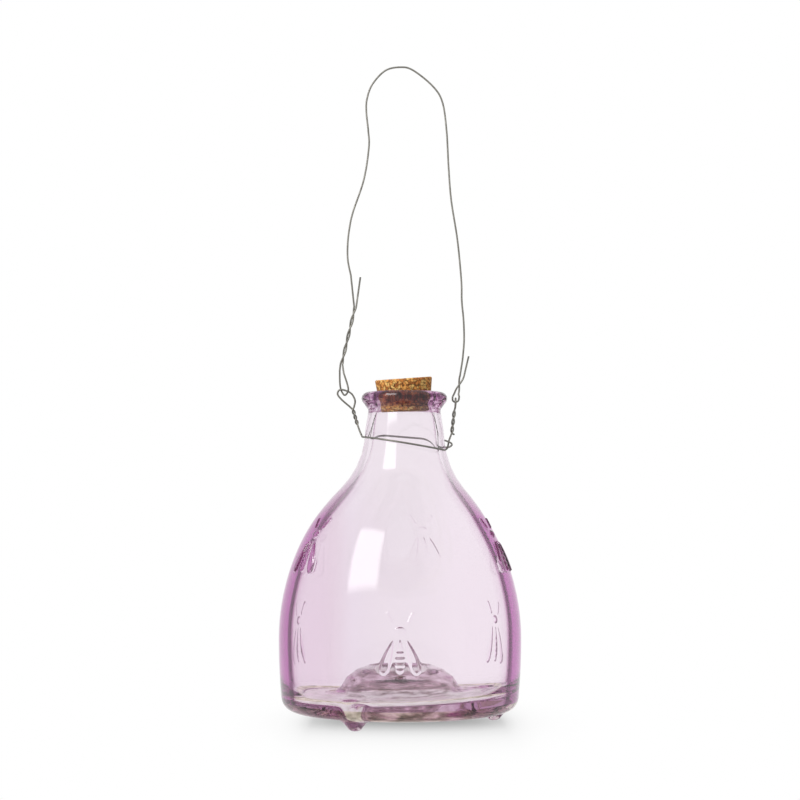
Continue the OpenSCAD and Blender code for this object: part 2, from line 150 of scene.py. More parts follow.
def glass_section():
    """The closed section of the glass as (radius, height) at even steps of its length: underside,
    heel, wall, rim, mouth, bore, floor, funnel. Each corner is rounded by a moving average."""
    heel = np.array([outer_radius(np.array(BASE_Z + HEEL_R)) - HEEL_R, BASE_Z + HEEL_R])
    corner = np.array([inner_radius(np.array(FLOOR_Z + FLOOR_R)) - FLOOR_R, FLOOR_Z + FLOOR_R])
    mouth_z = GLASS_TOP - MOUTH_L
    wall_z = np.linspace(BASE_Z + HEEL_R, RIM_Z, WALL_STEPS)
    bore_z = np.linspace(mouth_z - MOUTH_RUN, corner[1], WALL_STEPS)
    lip = np.array([HOLE_R + LIP_T / 2, LIP_Z - LIP_T / 2])
    dome_r = FUNNEL_R - FUNNEL_STEP - lip[0]
    dome = np.array([lip[0], LIP_Z - dome_r])
    foot = np.array([FUNNEL_R, FLOOR_Z]) + FUNNEL_FOOT_R
    dome_from = np.degrees(np.arcsin((foot[1] + DOME_CLEAR - dome[1]) / dome_r))
    line = np.concatenate([
        [[FUNNEL_R + HOLE_EDGE, BASE_Z]],
        bend(heel, HEEL_R, -90, 0),
        np.stack([outer_radius(wall_z), wall_z], axis=1)[1:],
        bend([RIM_R - RIM_EDGE_R, GLASS_TOP - RIM_EDGE_R], RIM_EDGE_R, RIM_UNDER, 90),
        bend([MOUTH_R + MOUTH_EDGE_R, GLASS_TOP - MOUTH_EDGE_R], MOUTH_EDGE_R, 90, 180),
        [[MOUTH_R, mouth_z]],
        np.stack([inner_radius(bore_z), bore_z], axis=1),
        bend(corner, FLOOR_R, CORNER_FROM, -90),
        bend(foot, FUNNEL_FOOT_R, -90, FUNNEL_FOOT_TO),
        bend(dome, dome_r, dome_from, 90),
        bend(lip, LIP_T / 2, LIP_FROM, 180),
        [[HOLE_R, lip[1] - THROAT_L]],
        bend(dome, dome_r - FUNNEL_WALL, HOLLOW_FROM, 0),
        [[FUNNEL_R - HOLE_EDGE / 2, BASE_Z + HOLE_EDGE]],
        [[FUNNEL_R + HOLE_EDGE, BASE_Z]],
    ])
    length = np.concatenate([[0.0], np.cumsum(np.linalg.norm(np.diff(line, axis=0), axis=1))])
    even = np.linspace(0.0, length[-1], SECTION_STEPS, endpoint=False)
    line = np.stack([np.interp(even, length, line[:, k]) for k in (0, 1)], axis=1)
    reach = int(CORNER_SOFT / length[-1] * SECTION_STEPS)
    kernel = np.hanning(2 * reach + 3)[1:-1]
    kernel = kernel / kernel.sum()
    wrapped = np.concatenate([line[-reach:], line, line[:reach]])
    return np.stack([np.convolve(wrapped[:, k], kernel, "valid") for k in (0, 1)], axis=1)


def leaf(t, belly):
    """Half width, from 0 to 1, of a leaf at t along it: a quarter sine up to the belly, made
    blunter by a power, then a quarter ellipse that rounds the end off."""
    t = np.clip(t, 0.0, 1.0)
    return np.where(
        t < belly, np.sin(np.pi / 2 * t / belly) ** LEAF_POINT,
        np.sqrt(np.clip(1.0 - ((t - belly) / (1.0 - belly)) ** 2, 0.0, 1.0)))


def turned(x, y, spread):
    """Distances along and across a line that leads down and leans outwards by the spread."""
    sine, cosine = np.sin(np.radians(spread)), np.cos(np.radians(spread))
    return sine * x - cosine * y, cosine * x + sine * y


def bee_relief(x, y):
    """Height, from 0 to 1, of a bee at x across and y up from its middle: a domed abdomen cut by
    grooves, a domed head, two wings that are flat panels with soft borders, and two low
    half-round feelers. The highest of them counts at each point."""
    t = (ABDOMEN_Y + ABDOMEN_L / 2 - y) / ABDOMEN_L
    half = ABDOMEN_W / 2 * leaf(t, ABDOMEN_BELLY)
    dome = np.clip(1.0 - (x / np.maximum(half, 0.01)) ** 2, 0.0, 1.0)
    between = np.abs((t * STRIPES) % 1.0 - 0.5) * 2
    groove = smooth_step((between - GROOVE_FROM) / (1.0 - GROOVE_FROM))
    groove *= smooth_step((GROOVES_END - t) / GROOVES_OUT)
    groove *= smooth_step((t - GROOVES_START) / GROOVES_IN)
    ends = smooth_step(t / ABDOMEN_END) * smooth_step((1.0 - t) / ABDOMEN_END)
    abdomen = dome * (1.0 - GROOVE_DEPTH * groove) * ends

    head = 1.0 - (x / (HEAD_W / 2)) ** 2 - ((y - HEAD_Y) / (HEAD_H / 2)) ** 2
    head = np.sqrt(np.clip(head, 0.0, 1.0))

    side = np.abs(x)
    along, across = turned(side - WING_X, y - WING_Y, WING_SPREAD)
    t = along / WING_L + 0.5
    edge = WING_W / 2 * leaf(t, WING_BELLY) - np.abs(across) - WING_INSET
    wing = smooth_step(edge / np.interp(t, (0.5, 1.0), WING_SOFT) + 0.5)
    wing *= smooth_step((WING_L / 2 - np.abs(along)) / WING_END)

    along, across = turned(side - FEELER_X, y - FEELER_Y, -FEELER_SPREAD)
    feeler = np.sqrt(np.clip(1.0 - (across / (FEELER_W / 2)) ** 2, 0.0, 1.0))
    feeler *= FEELER_SHARE * smooth_step((FEELER_L / 2 - np.abs(along)) / FEELER_END)
    return np.max([abdomen, head, wing, feeler], axis=0)


def foot_height(off):
    """Height of a foot's surface at a distance from its axis: a flat pad, a round edge and a
    straight flank, which turns up beyond the root."""
    bend_r = FOOT_PAD_R + FOOT_EDGE_R * np.sin(FOOT_BEND)
    bend_z = FOOT_EDGE_R * (1.0 - np.cos(FOOT_BEND))
    slope = (BASE_Z - bend_z) / (FOOT_ROOT_R - bend_r)
    edge = FOOT_EDGE_R - np.sqrt(np.clip(FOOT_EDGE_R**2 - (off - FOOT_PAD_R) ** 2, 0.0, None))
    flank = bend_z + slope * (off - bend_r) + FOOT_FLARE * np.maximum(off - FOOT_ROOT_R, 0.0) ** 2
    return np.maximum(np.where(off < FOOT_PAD_R, 0.0, np.where(off < bend_r, edge, flank)), 0.0)


def dimple_height(off):
    """Height of a dimple's surface at a distance from its axis: the lower half of a ball, and
    above everything outside the ball."""
    ball = np.sqrt(np.clip(DIMPLE_BALL_R**2 - off**2, 0.0, None))
    bowl = FLOOR_Z + DIMPLE_BALL_R - DIMPLE_DEPTH - ball
    return bowl + np.where(off > DIMPLE_BALL_R, ABOVE_ALL, 0.0)


def jar_surface():
    """The section swept round the jar's axis. The outside is raised along its normal by the bees,
    the underside is drawn down to the feet, and the floor sinks in a dimple over each foot. The
    floor slopes up to the right, the bell below the neck leans to the left, and the bore lies a
    little to the back, so that no light is caught between two round walls with one axis. With the
    points come the bees' share of their dark violet tint at each, which is partly painted shade,
    and the start of each band along the section."""
    section = glass_section()
    step = np.roll(section, -1, axis=0) - np.roll(section, 1, axis=0)
    normal = np.stack([step[:, 1], -step[:, 0]], axis=1) / np.linalg.norm(step, axis=1)[:, None]
    place = np.arange(len(section))
    outside = normal[:, 0] > OUT_FACE
    outside &= section[:, 0] > inner_radius(section[:, 1]) + OUT_CLEAR

    def row_weight(i):
        """1, and more where the section carries the bees, the heel or the rim."""
        near = i.astype(int) % len(section)
        r, z = section[near].T
        bees = outside[near] & np.any([(z > low) & (z < high) for low, high in BEE_BANDS], axis=0)
        heel = (z < HEEL_FINE_Z) & (r > HEEL_FINE_R)
        return 1.0 + BEE_ROWS * bees + HEEL_ROWS * heel + RIM_ROWS * (z > RIM_FINE_Z)

    def column_weight(turn):
        """1, and more beside the turn of a bee or a foot."""
        def nearest(marks):
            """Degrees to the nearest mark, either way round."""
            return np.min([np.abs((turn - m + 180.0) % 360.0 - 180.0) for m in marks], axis=0)

        to_bee, to_foot = nearest([bee[0] for bee in BEE_PLACES]), nearest(FOOT_TURNS)
        return (1.0 + BEE_COLUMNS * smooth_step((FINE_SIDE - to_bee) / BEE_FADE)
                + FOOT_COLUMNS * smooth_step((FINE_SIDE - to_foot) / FOOT_FADE))

    rows = spaced(0, len(section) - 1, JAR_ROWS, row_weight)
    turns = np.radians(spaced(-180.0, 180.0, JAR_COLUMNS, column_weight))
    pick = np.round(rows).astype(int)
    r, z = (np.interp(rows, place, section[:, k])[:, None] for k in (0, 1))
    nr, nz = (normal[pick, k][:, None] for k in (0, 1))
    out = outside[pick][:, None]
    beyond_funnel = (section[pick, 0] > FUNNEL_R)[:, None]

    relief, violet = np.zeros((2, JAR_ROWS, JAR_COLUMNS))
    run = np.concatenate([[0.0], np.cumsum(np.linalg.norm(np.diff(section, axis=0), axis=1))])
    run = np.interp(rows, place, run)[:, None]
    for turn, height, relief_share, violet_and_shade_share in BEE_PLACES:
        middle = run[np.argmin(np.where(out, np.abs(z - height), np.inf))]
        x = r * ((turns - np.radians(turn) + np.pi) % (2 * np.pi) - np.pi)
        bee = np.where(out, bee_relief(x, run - middle), 0.0)
        relief += relief_share * BEE_RELIEF * bee
        violet += violet_and_shade_share * smooth_step(BEE_EDGE * bee)
    r, z = r + relief * nr, z + relief * nz
    x, y = r * np.sin(turns), -r * np.cos(turns)

    under = (nz < UNDER_FACE) & beyond_funnel & (z < UNDER_TOP)
    level = (nz > FLOOR_FACE) & ~out & beyond_funnel
    floor = level & (z < FLOOR_TOP)
    for turn in np.radians(FOOT_TURNS):
        to_foot = np.hypot(x - FOOT_RING_R * np.sin(turn), y + FOOT_RING_R * np.cos(turn))
        to_dimple = np.hypot(x - DIMPLE_RING_R * np.sin(turn), y + DIMPLE_RING_R * np.cos(turn))
        z = np.where(under, lesser(z, foot_height(to_foot), FOOT_BLEND), z)
        z = np.where(floor, lesser(z, dimple_height(to_dimple), DIMPLE_BLEND), z)
    slope = np.where(level & (z > FLOOR_Z - FLOOR_LOW), FLOOR_RISE * x, 0.0)
    z = z + slope * (1.0 - smooth_step((z - FLOOR_Z) / FLOOR_FADE))
    x = x + BODY_SHIFT * (1.0 - smooth_step((z - SHIFT_FROM) / (SHIFT_TO - SHIFT_FROM)))

    rim_top = np.argmax(section[:, 1])
    bore_end = rim_top + np.argmax(section[rim_top:, 1] < FLOOR_Z + CORNER_BAND * FLOOR_R)
    bore = ((rows > rim_top) & (rows < bore_end))[:, None]
    back = smooth_step((z - BORE_FROM) / BORE_BLEND) * smooth_step((BORE_TO - z) / BORE_BLEND)
    y = y + np.where(bore, BORE_SHIFT * back, 0.0)

    starts = [
        np.argmax(outside & (section[:, 1] > BASE_Z + HEEL_BAND * HEEL_R)),
        np.argmax(outside & (section[:, 1] > BASE_Z + WALL_BAND * HEEL_R)),
        np.argmax(outside & (section[:, 1] > RIM_Z + RIM_BAND)),
        rim_top,
        bore_end,
        rim_top + np.argmax(section[rim_top:, 1] < FLOOR_Z + FLOOR_BAND * FLOOR_R),
        bore_end + np.argmax(section[bore_end:, 0] < FUNNEL_R + FUNNEL_STEP)]
    starts = np.interp(starts, rows, np.arange(JAR_ROWS)) / JAR_ROWS
    return np.stack(np.broadcast_arrays(x, y, np.maximum(z, 0.0)), axis=-1), violet, starts


def skin(name, grid, ring=False):
    """Mesh over a (rows, columns) grid of points in millimetres. The columns close on themselves.
    With ring the rows close too, and otherwise one face fills the first row and one the last."""
    rows, columns = grid.shape[:2]
    index = np.arange(rows * columns).reshape(rows, columns)
    low = index if ring else index[:-1]
    high = np.roll(index, -1, axis=0) if ring else index[1:]
    quads = np.stack([low, np.roll(low, -1, 1), np.roll(high, -1, 1), high], axis=-1).reshape(-1, 4)
    ends = [] if ring else [index[0, ::-1].tolist(), index[-1].tolist()]
    mesh = bpy.data.meshes.new(name)
    mesh.from_pydata((grid.reshape(-1, 3) * MM).tolist(), [], quads.tolist() + ends)
    mesh.shade_smooth()
    obj = bpy.data.objects.new(name, mesh)
    bpy.context.scene.collection.objects.link(obj)
    return obj


jar_points, bee_violet_and_shade, band_starts = jar_surface()
heel_start, wall_start, rim_start, rim_top, bore_end, floor_start, dome_start = band_starts
jar = skin("trap_jar", jar_points, ring=True)
bee_mark = jar.data.attributes.new("bee", "FLOAT", "POINT")
bee_mark.data.foreach_set("value", bee_violet_and_shade.ravel())
around = (np.arange(JAR_COLUMNS)[None, :, None] + [0, 1, 1, 0]) / JAR_COLUMNS
along = (np.arange(JAR_ROWS)[:, None, None] + [0, 0, 1, 1]) / JAR_ROWS
jar_map = jar.data.uv_layers.new(name="section")
jar_map.data.foreach_set("uv", np.stack(np.broadcast_arrays(around, along), axis=-1).ravel())

# The violet is in the glass itself. The tints below change its colour by height, and darken
# its edges by the slant of the surface: partly the deeper violet of a long path through the
# wall, partly painted shade that stands in for darker surroundings seen in the edges. Other
# tints paint shade on the left side and across the middle of the rim, darken the bees at a
# slant, partly with painted shade, and streak the heel, the underside and the funnel with
# painted shade; the floor and the rim get plain streaks. The last two lists say how much of a
# tint counts at a share of the height.
GLASS_VIOLET, GLASS_DENSITY, GLASS_SHADE = (0.45, 0.07, 0.38, 1.0), 18.0, (0.70, 0.73, 0.705, 1.0)
GLASS_ROUGHNESS, GLASS_IOR, EVEN_SLANT = 0.012, 1.5, 0.5
# The trapped glow is painted light: a faint violet emission of the glass itself.
TRAPPED_DEPTH, TRAPPED_PAINTED_GLOW, NO_GLOW = 8.5, (0.04, 0.010, 0.032, 1.0), (0.0, 0.0, 0.0, 1.0)
HEIGHT_SPAN, SIDE_SPAN = 0.17, 0.06
STREAK_SCALE, STREAK_DETAIL = (150.0, 150.0, 330.0), 4.0
CLEAR = (1.0, 1.0, 1.0)
HEIGHT_TINTS = [
    (0.0, (0.97, 0.95, 0.93)), (0.055, (0.97, 0.95, 0.93)), (0.08, (1.0, 0.98, 0.996)),
    (0.59, (1.0, 0.98, 0.996)), (0.75, (0.975, 0.955, 0.97)), (0.914, (0.97, 0.95, 0.965)),
    (0.921, (0.95, 0.90, 0.93)), (1.0, (0.95, 0.90, 0.93))]
# Painted shade: the glass is darker and more violet on the left than on the right.
SIDE_PAINTED_SHADE = [
    (0.0, (0.937, 0.89, 0.927)), (0.167, (0.937, 0.89, 0.927)), (0.235, (0.935, 0.90, 0.922)),
    (0.29, (0.957, 0.948, 0.964)), (0.42, (0.965, 0.962, 0.965)), (0.56, (0.972, 0.972, 0.972)),
    (0.75, CLEAR), (1.0, CLEAR)]
OUTSIDE_VIOLET_AND_SHADE = [
    (0.0, CLEAR), (0.42, CLEAR), (0.52, (0.85, 0.74, 0.83)), (0.545, (0.45, 0.22, 0.40)),
    (0.565, (0.07, 0.004, 0.05)), (0.61, (0.07, 0.003, 0.05)), (0.64, (0.28, 0.02, 0.22)),
    (0.80, (0.25, 0.008, 0.19)), (1.0, (0.2, 0.006, 0.14))]
INSIDE_VIOLET_AND_SHADE = [
    (0.0, CLEAR), (0.64, CLEAR), (0.72, (0.85, 0.70, 0.80)), (0.79, (0.22, 0.045, 0.17)),
    (0.85, (0.06, 0.006, 0.045)), (1.0, (0.05, 0.005, 0.038))]
# Where a bee is seen at a slant it darkens to violet: partly the long path through the relief, partly
# painted shade.
BEE_VIOLET_AND_SHADE = [
    (0.0, CLEAR), (0.10, CLEAR), (0.18, (0.70, 0.40, 0.64)), (0.30, (0.45, 0.13, 0.38)),
    (0.62, (0.34, 0.05, 0.27)), (1.0, (0.30, 0.04, 0.23))]
# Across the rim: darkest over its middle, where painted shade stands in for the shaded cork in the
# mouth, with the violet of the thick rim; lighter at its ends.
RIM_VIOLET_AND_SHADE = [
    (0.0, CLEAR), (0.34, CLEAR), (0.39, (0.75, 0.60, 0.70)), (0.43, (0.26, 0.08, 0.15)),
    (0.60, (0.26, 0.08, 0.15)), (0.64, (0.86, 0.60, 0.80)), (0.70, (1.0, 0.84, 0.96)),
    (1.0, (1.0, 0.84, 0.96))]
RIM_STREAKS = [(0.42, (0.12, 0.02, 0.10)), (0.48, (0.50, 0.25, 0.46)), (0.53, (0.96, 0.92, 0.95))]
FLOOR_STREAKS = [(0.36, (0.86, 0.72, 0.81)), (0.5, (0.94, 0.88, 0.92)), (0.62, (1.0, 0.98, 0.99))]
# The funnel, underside and heel tints are partly random streaks and partly painted shade, which stands
# in for the shaded floor seen through the base.
FUNNEL_STREAKS_AND_SHADE = [(0.36, (0.20, 0.13, 0.13)), (0.5, (0.66, 0.56, 0.58)), (0.62, (0.92, 0.86, 0.88))]
UNDER_STREAKS_AND_SHADE = [(0.40, (0.62, 0.64, 0.54)), (0.5, (0.87, 0.87, 0.82)), (0.6, (0.96, 0.96, 0.95))]
HEEL_STREAKS_AND_SHADE = [(0.36, (0.11, 0.095, 0.04)), (0.5, (0.58, 0.56, 0.33)), (0.62, (0.92, 0.86, 0.62))]
TINT_BY_HEIGHT = [
    (0.0, 1.0), (0.59, 1.0), (0.66, 0.8), (0.73, 0.4), (0.80, 0.28), (0.905, 0.3), (0.915, 1.0),
    (1.0, 1.0)]
INSIDE_BY_HEIGHT = [
    (0.0, 1.0), (0.59, 1.0), (0.66, 0.8), (0.73, 0.4), (0.78, 0.5), (0.84, 1.0), (1.0, 1.0)]


def bare_finish(name):
    """A material for nodes, with none in it yet."""
    material = bpy.data.materials.new(name)
    material.use_nodes = True
    material.node_tree.nodes.clear()
    return material


def add_node(tree, kind, inputs=None, **settings):
    """A shader node with its settings. An input that is given another node's socket is linked to
    it, and one that is given a value has it set."""
    node = tree.nodes.new("ShaderNode" + kind)
    for name, value in settings.items():
        setattr(node, name, value)
    for name, value in (inputs or {}).items():
        if isinstance(value, bpy.types.NodeSocket):
            tree.links.new(value, node.inputs[name])
        else:
            node.inputs[name].default_value = value
    return node


def work_out(tree, operation, *values):
    """The result of one step of arithmetic on sockets and numbers."""
    return add_node(tree, "Math", dict(enumerate(values)), operation=operation).outputs["Value"]


def ramp(tree, source, stops):
    """The colour that a ramp gives a socket's value. A stop is a place with a colour or a grey."""
    node = add_node(tree, "ValToRGB", {"Fac": source})
    for share, _ in stops[2:]:
        node.color_ramp.elements.new(share)
    for element, (share, tone) in zip(node.color_ramp.elements, stops):
        element.position = share
        element.color = (*np.broadcast_to(tone, 3), 1.0)
    return node.outputs["Color"]


def tinted(tree, colour, tint, share):
    """A colour multiplied by a tint, as far as the share says."""
    inputs = {"Fac": share, "Color1": colour, "Color2": tint}
    return add_node(tree, "MixRGB", inputs, blend_type="MULTIPLY").outputs["Color"]


violet_glass = bare_finish("violet_glass")
tree = violet_glass.node_tree
spot = add_node(tree, "TexCoord").outputs["Object"]
place = add_node(tree, "SeparateXYZ", {"Vector": spot}).outputs
height = add_node(tree, "MapRange", {"Value": place["Z"], "From Max": HEIGHT_SPAN}).outputs["Result"]
sideways = add_node(tree, "MapRange", {
    "Value": place["X"], "From Min": BODY_SHIFT * MM - SIDE_SPAN,
    "From Max": BODY_SHIFT * MM + SIDE_SPAN}).outputs["Result"]
slant = add_node(tree, "LayerWeight", {"Blend": EVEN_SLANT}).outputs["Facing"]
stretched = add_node(tree, "VectorMath", {0: spot, 1: STREAK_SCALE}, operation="MULTIPLY")
streaks = add_node(tree, "TexNoise", {
    "Vector": stretched.outputs["Vector"], "Scale": 1.0, "Detail": STREAK_DETAIL}).outputs["Fac"]
section_map = add_node(tree, "UVMap", uv_map="section").outputs["UV"]
along_section = add_node(tree, "SeparateXYZ", {"Vector": section_map}).outputs["Y"]
by_height = ramp(tree, height, TINT_BY_HEIGHT)
inside_by_height = ramp(tree, height, INSIDE_BY_HEIGHT)
colour = ramp(tree, height, HEIGHT_TINTS)
for tints, source, strength, start, end in (
        (SIDE_PAINTED_SHADE, sideways, by_height, wall_start, bore_end),
        (OUTSIDE_VIOLET_AND_SHADE, slant, by_height, wall_start, rim_start),
        (RIM_VIOLET_AND_SHADE, sideways, by_height, rim_start, rim_top),
        (RIM_STREAKS, streaks, by_height, rim_start, rim_top),
        (INSIDE_VIOLET_AND_SHADE, slant, inside_by_height, rim_top, bore_end),
        (FLOOR_STREAKS, streaks, by_height, floor_start, dome_start),
        (FUNNEL_STREAKS_AND_SHADE, streaks, by_height, dome_start, 1.0),
        (UNDER_STREAKS_AND_SHADE, streaks, by_height, 0.0, heel_start),
        (HEEL_STREAKS_AND_SHADE, streaks, by_height, heel_start, wall_start)):
    band = work_out(tree, "COMPARE", along_section, (start + end) / 2, (end - start) / 2)
    share = work_out(tree, "MULTIPLY", band, strength)
    colour = tinted(tree, colour, ramp(tree, source, tints), share)
# The bees darken to violet at a slant: partly the deeper violet of the relief, partly painted shade.
bees = add_node(tree, "Attribute", attribute_name="bee").outputs["Fac"]
colour = tinted(tree, colour, ramp(tree, slant, BEE_VIOLET_AND_SHADE), bees)

# Rays still inside the glass after many turns meet a faint violet glow, which is painted light:
# an emission on the glass, so that they end in violet and not in black.
rays = add_node(tree, "LightPath").outputs
trapped = work_out(tree, "GREATER_THAN", rays["Ray Depth"], TRAPPED_DEPTH)
painted_glow = add_node(tree, "MixRGB", {"Fac": trapped, "Color1": NO_GLOW, "Color2": TRAPPED_PAINTED_GLOW})
glass = add_node(tree, "BsdfPrincipled", {
    "Base Color": colour, "Roughness": GLASS_ROUGHNESS, "IOR": GLASS_IOR, "Transmission Weight": 1.0,
    "Emission Color": painted_glow.outputs["Color"], "Emission Strength": 1.0})

# Lamps and the light of the surround pass straight through, with the glass's own pale shade.
clear = add_node(tree, "BsdfTransparent", {"Color": GLASS_SHADE}).outputs["BSDF"]
surface = glass.outputs["BSDF"]
for kind in ("Is Shadow Ray", "Is Diffuse Ray"):
    surface = add_node(tree, "MixShader", {"Fac": rays[kind], 1: surface, 2: clear}).outputs["Shader"]
depth = add_node(tree, "VolumeAbsorption", {"Color": GLASS_VIOLET, "Density": GLASS_DENSITY})
add_node(tree, "OutputMaterial", {"Surface": surface, "Volume": depth.outputs["Volume"]})

jar.data.materials.append(violet_glass)
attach(jar, "jar")
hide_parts("glass_jar")


# The cork: a short tapered bung cut from pressed cork granules, pushed into the mouth by hand
# and left leaning a little to the left and to the front.
CORK_L, CORK_IN, CORK_TAPER, CORK_GAP, CORK_EDGE = 16.0, 9.0, 7.0, 0.4, 0.5
CORK_TILT, CORK_NOD = np.radians(-4.0), np.radians(4.5)
CORK_COLUMNS, CORK_ROWS, CORK_HUB_R = 96, (12, 3, 24, 3, 14), 0.5
GRAIN_SCALE, GRAIN_WARP_SCALE, GRAIN_WARP = 700.0, 500.0, (0.0016, 0.0016, 0.0016)
GRAIN_TONES = [
    (0.25, (0.44, 0.147, 0.03)), (0.42, (0.79, 0.295, 0.065)), (0.6, (0.97, 0.45, 0.11)),
    (0.75, (1.0, 0.62, 0.20))]
GAP_WIDTH, GAP_ROUGHNESS, GRAIN_ROUGHNESS = 0.10, 0.96, 0.80
GAP_TONES = [(0.0, (0.08, 0.05, 0.035)), (GAP_WIDTH, (0.85, 0.83, 0.81)), (1.0, CLEAR)]
PIT_STRENGTH, PIT_DEPTH = 0.6, 0.0003


def cork_surface():
    """A tapered profile with chamfered ends turned round the cork's axis, then tilted about the
    middle of the mouth."""
    slope = np.tan(np.radians(CORK_TAPER))
    seat = MOUTH_R - CORK_GAP
    top, foot = seat + (CORK_L - CORK_IN) * slope, seat - CORK_IN * slope
    corners = np.array([
        [CORK_HUB_R, 0.0], [foot - CORK_EDGE, 0.0], [foot, CORK_EDGE],
        [top, CORK_L - CORK_EDGE], [top - CORK_EDGE, CORK_L], [CORK_HUB_R, CORK_L]])
    sides = zip(corners[:-1], corners[1:], CORK_ROWS)
    line = [np.linspace(start, end, count, endpoint=False) for start, end, count in sides]
    line = np.concatenate(line + [corners[-1:]])
    turn = np.linspace(0.0, 2 * np.pi, CORK_COLUMNS, endpoint=False)
    x, y = line[:, :1] * np.cos(turn), line[:, :1] * np.sin(turn)
    z = np.broadcast_to(line[:, 1:] - CORK_IN, x.shape)
    y, z = y * np.cos(CORK_NOD) - z * np.sin(CORK_NOD), z * np.cos(CORK_NOD) + y * np.sin(CORK_NOD)
    x, z = x * np.cos(CORK_TILT) + z * np.sin(CORK_TILT), z * np.cos(CORK_TILT) - x * np.sin(CORK_TILT)
    return np.stack([x, y, z + GLASS_TOP], axis=-1)


pressed_cork = bare_finish("pressed_cork")
tree = pressed_cork.node_tree
spot = add_node(tree, "TexCoord").outputs["Object"]
warp = add_node(tree, "TexNoise", {"Vector": spot, "Scale": GRAIN_WARP_SCALE}).outputs["Color"]
warped = add_node(tree, "VectorMath", {0: warp, 1: GRAIN_WARP, 2: spot}, operation="MULTIPLY_ADD")
grain_inputs = {"Vector": warped.outputs["Vector"], "Scale": GRAIN_SCALE}
grains = add_node(tree, "TexVoronoi", grain_inputs).outputs["Color"]
gaps = add_node(tree, "TexVoronoi", grain_inputs, feature="DISTANCE_TO_EDGE").outputs["Distance"]
gap_tone = ramp(tree, gaps, GAP_TONES)
dull = add_node(tree, "MapRange", {
    "Value": gaps, "From Max": GAP_WIDTH, "To Min": GAP_ROUGHNESS, "To Max": GRAIN_ROUGHNESS})
pits = add_node(tree, "Bump", {"Height": gap_tone, "Strength": PIT_STRENGTH, "Distance": PIT_DEPTH})
cork_shader = add_node(tree, "BsdfPrincipled", {
    "Base Color": tinted(tree, ramp(tree, grains, GRAIN_TONES), gap_tone, 1.0),
    "Roughness": dull.outputs["Result"], "Normal": pits.outputs["Normal"]})
add_node(tree, "OutputMaterial", {"Surface": cork_shader.outputs["BSDF"]})

cork = skin("trap_cork", cork_surface())
cork.data.materials.append(pressed_cork)
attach(cork, "cork")
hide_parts("cork_stopper")


# The neck wire: one length of thin galvanised steel wire, laid round the neck by hand. It is
# twisted on itself at each side and bent into an eye above each twist.
WIRE_R, STRAND_R, WIRE_SIDES = 0.45, 0.525, 12
FINE_STEP, TWIST_STEPS, RING_STEPS = 0.5, 40, 60
RING_GAP, RING_Z, RING_FALL = 0.3, 136.5, 9.4
RING_BACK, RING_BACK_RIGHT, RING_BACK_BLEND = 4.3, 2.2, 0.9
RING_BACK_RUN, RING_FRONT_RUN = (26.0, 154.0), (206.0, 330.0)
HOOK_JOIN, LEFT_BACK_JOIN, LEFT_FRONT_JOIN, RIGHT_JOIN = 20.0, 160.0, 200.0, 337.0
LEFT_LINK_OUT, LEFT_LINK_UP, RIGHT_LINK_OUT, RIGHT_LINK_UP, EYE_TURNS = 8.4, 23.5, 4.1, 24.6, 1.5
PATINA_SCALE, PATINA_TONES = 260.0, [(0.0, (0.13, 0.125, 0.11)), (1.0, (0.28, 0.27, 0.24))]
PATINA_SPAN, WIRE_ROUGHNESS, WIRE_METALLIC = (0.3, 0.7), (0.54, 0.36), 0.9
CRUST_STRENGTH, CRUST_DEPTH = 0.4, 0.0001


def through(points, step):
    """A smooth curve through the points, at about even steps: one cubic for each span, whose slope
    at an end is half the chord between that end's two neighbours."""
    p = np.asarray(points, float)
    p = np.concatenate([p[:1], p, p[-1:]])
    spans = np.linalg.norm(np.diff(p[1:-1], axis=0), axis=1)
    counts = np.maximum(1, np.ceil(spans / step)).astype(int)
    span = np.repeat(np.arange(len(counts)), counts)
    t = np.concatenate([np.arange(n) / n for n in counts])[:, None]
    a, b, c, d = (p[span + k] for k in range(4))
    curve = 0.5 * (2 * b + (c - a) * t + (2 * a - 5 * b + 4 * c - d) * t**2
                   + (3 * b - a - 3 * c + d) * t**3)
    return np.concatenate([curve, p[-2:-1]])


def strand(start, end, radius, turns, first, steps=TWIST_STEPS):
    """One strand of a twist: a helix about the line from start to end, from an angle in degrees."""
    start, end = np.asarray(start, float), np.asarray(end, float)
    along = (end - start) / np.linalg.norm(end - start)
    v = np.array([0.0, 1.0, 0.0])
    u = np.cross(v, along)
    u /= np.linalg.norm(u)
    t = np.linspace(0.0, 1.0, steps + 1)[:, None]
    a = np.radians(first + 360.0 * turns * t)
    return start + (end - start) * t + radius * (np.cos(a) * u + np.sin(a) * v)


def tube(line):
    """A round tube along a line. The ring's first direction is carried from point to point without
    turning: any normal is taken at each point, and the turn between neighbours is summed and undone."""
    apart = np.linalg.norm(np.diff(line, axis=0), axis=1)
    line = line[np.concatenate([[True], apart > 1e-6])]
    t = np.gradient(line, axis=0)
    t /= np.linalg.norm(t, axis=1)[:, None]
    n = np.cross(t, np.eye(3)[np.argmin(np.abs(t), axis=1)])
    n /= np.linalg.norm(n, axis=1)[:, None]
    before, after, m = t[:-1], t[1:], n[:-1]
    share = np.sum(m * after, axis=1) / (1.0 + np.sum(before * after, axis=1))
    carried = m - share[:, None] * (before + after)
    turn = np.arctan2(
        np.sum(np.cross(carried, n[1:]) * after, axis=1), np.sum(carried * n[1:], axis=1))
    turn = np.concatenate([[0.0], np.cumsum(turn)])[:, None]
    first = np.cos(turn) * n - np.sin(turn) * np.cross(t, n)
    second = np.cross(t, first)
    a = np.linspace(0.0, 2 * np.pi, WIRE_SIDES, endpoint=False)
    rounds = np.cos(a)[:, None] * first[:, None] + np.sin(a)[:, None] * second[:, None]
    return line[:, None] + WIRE_R * rounds


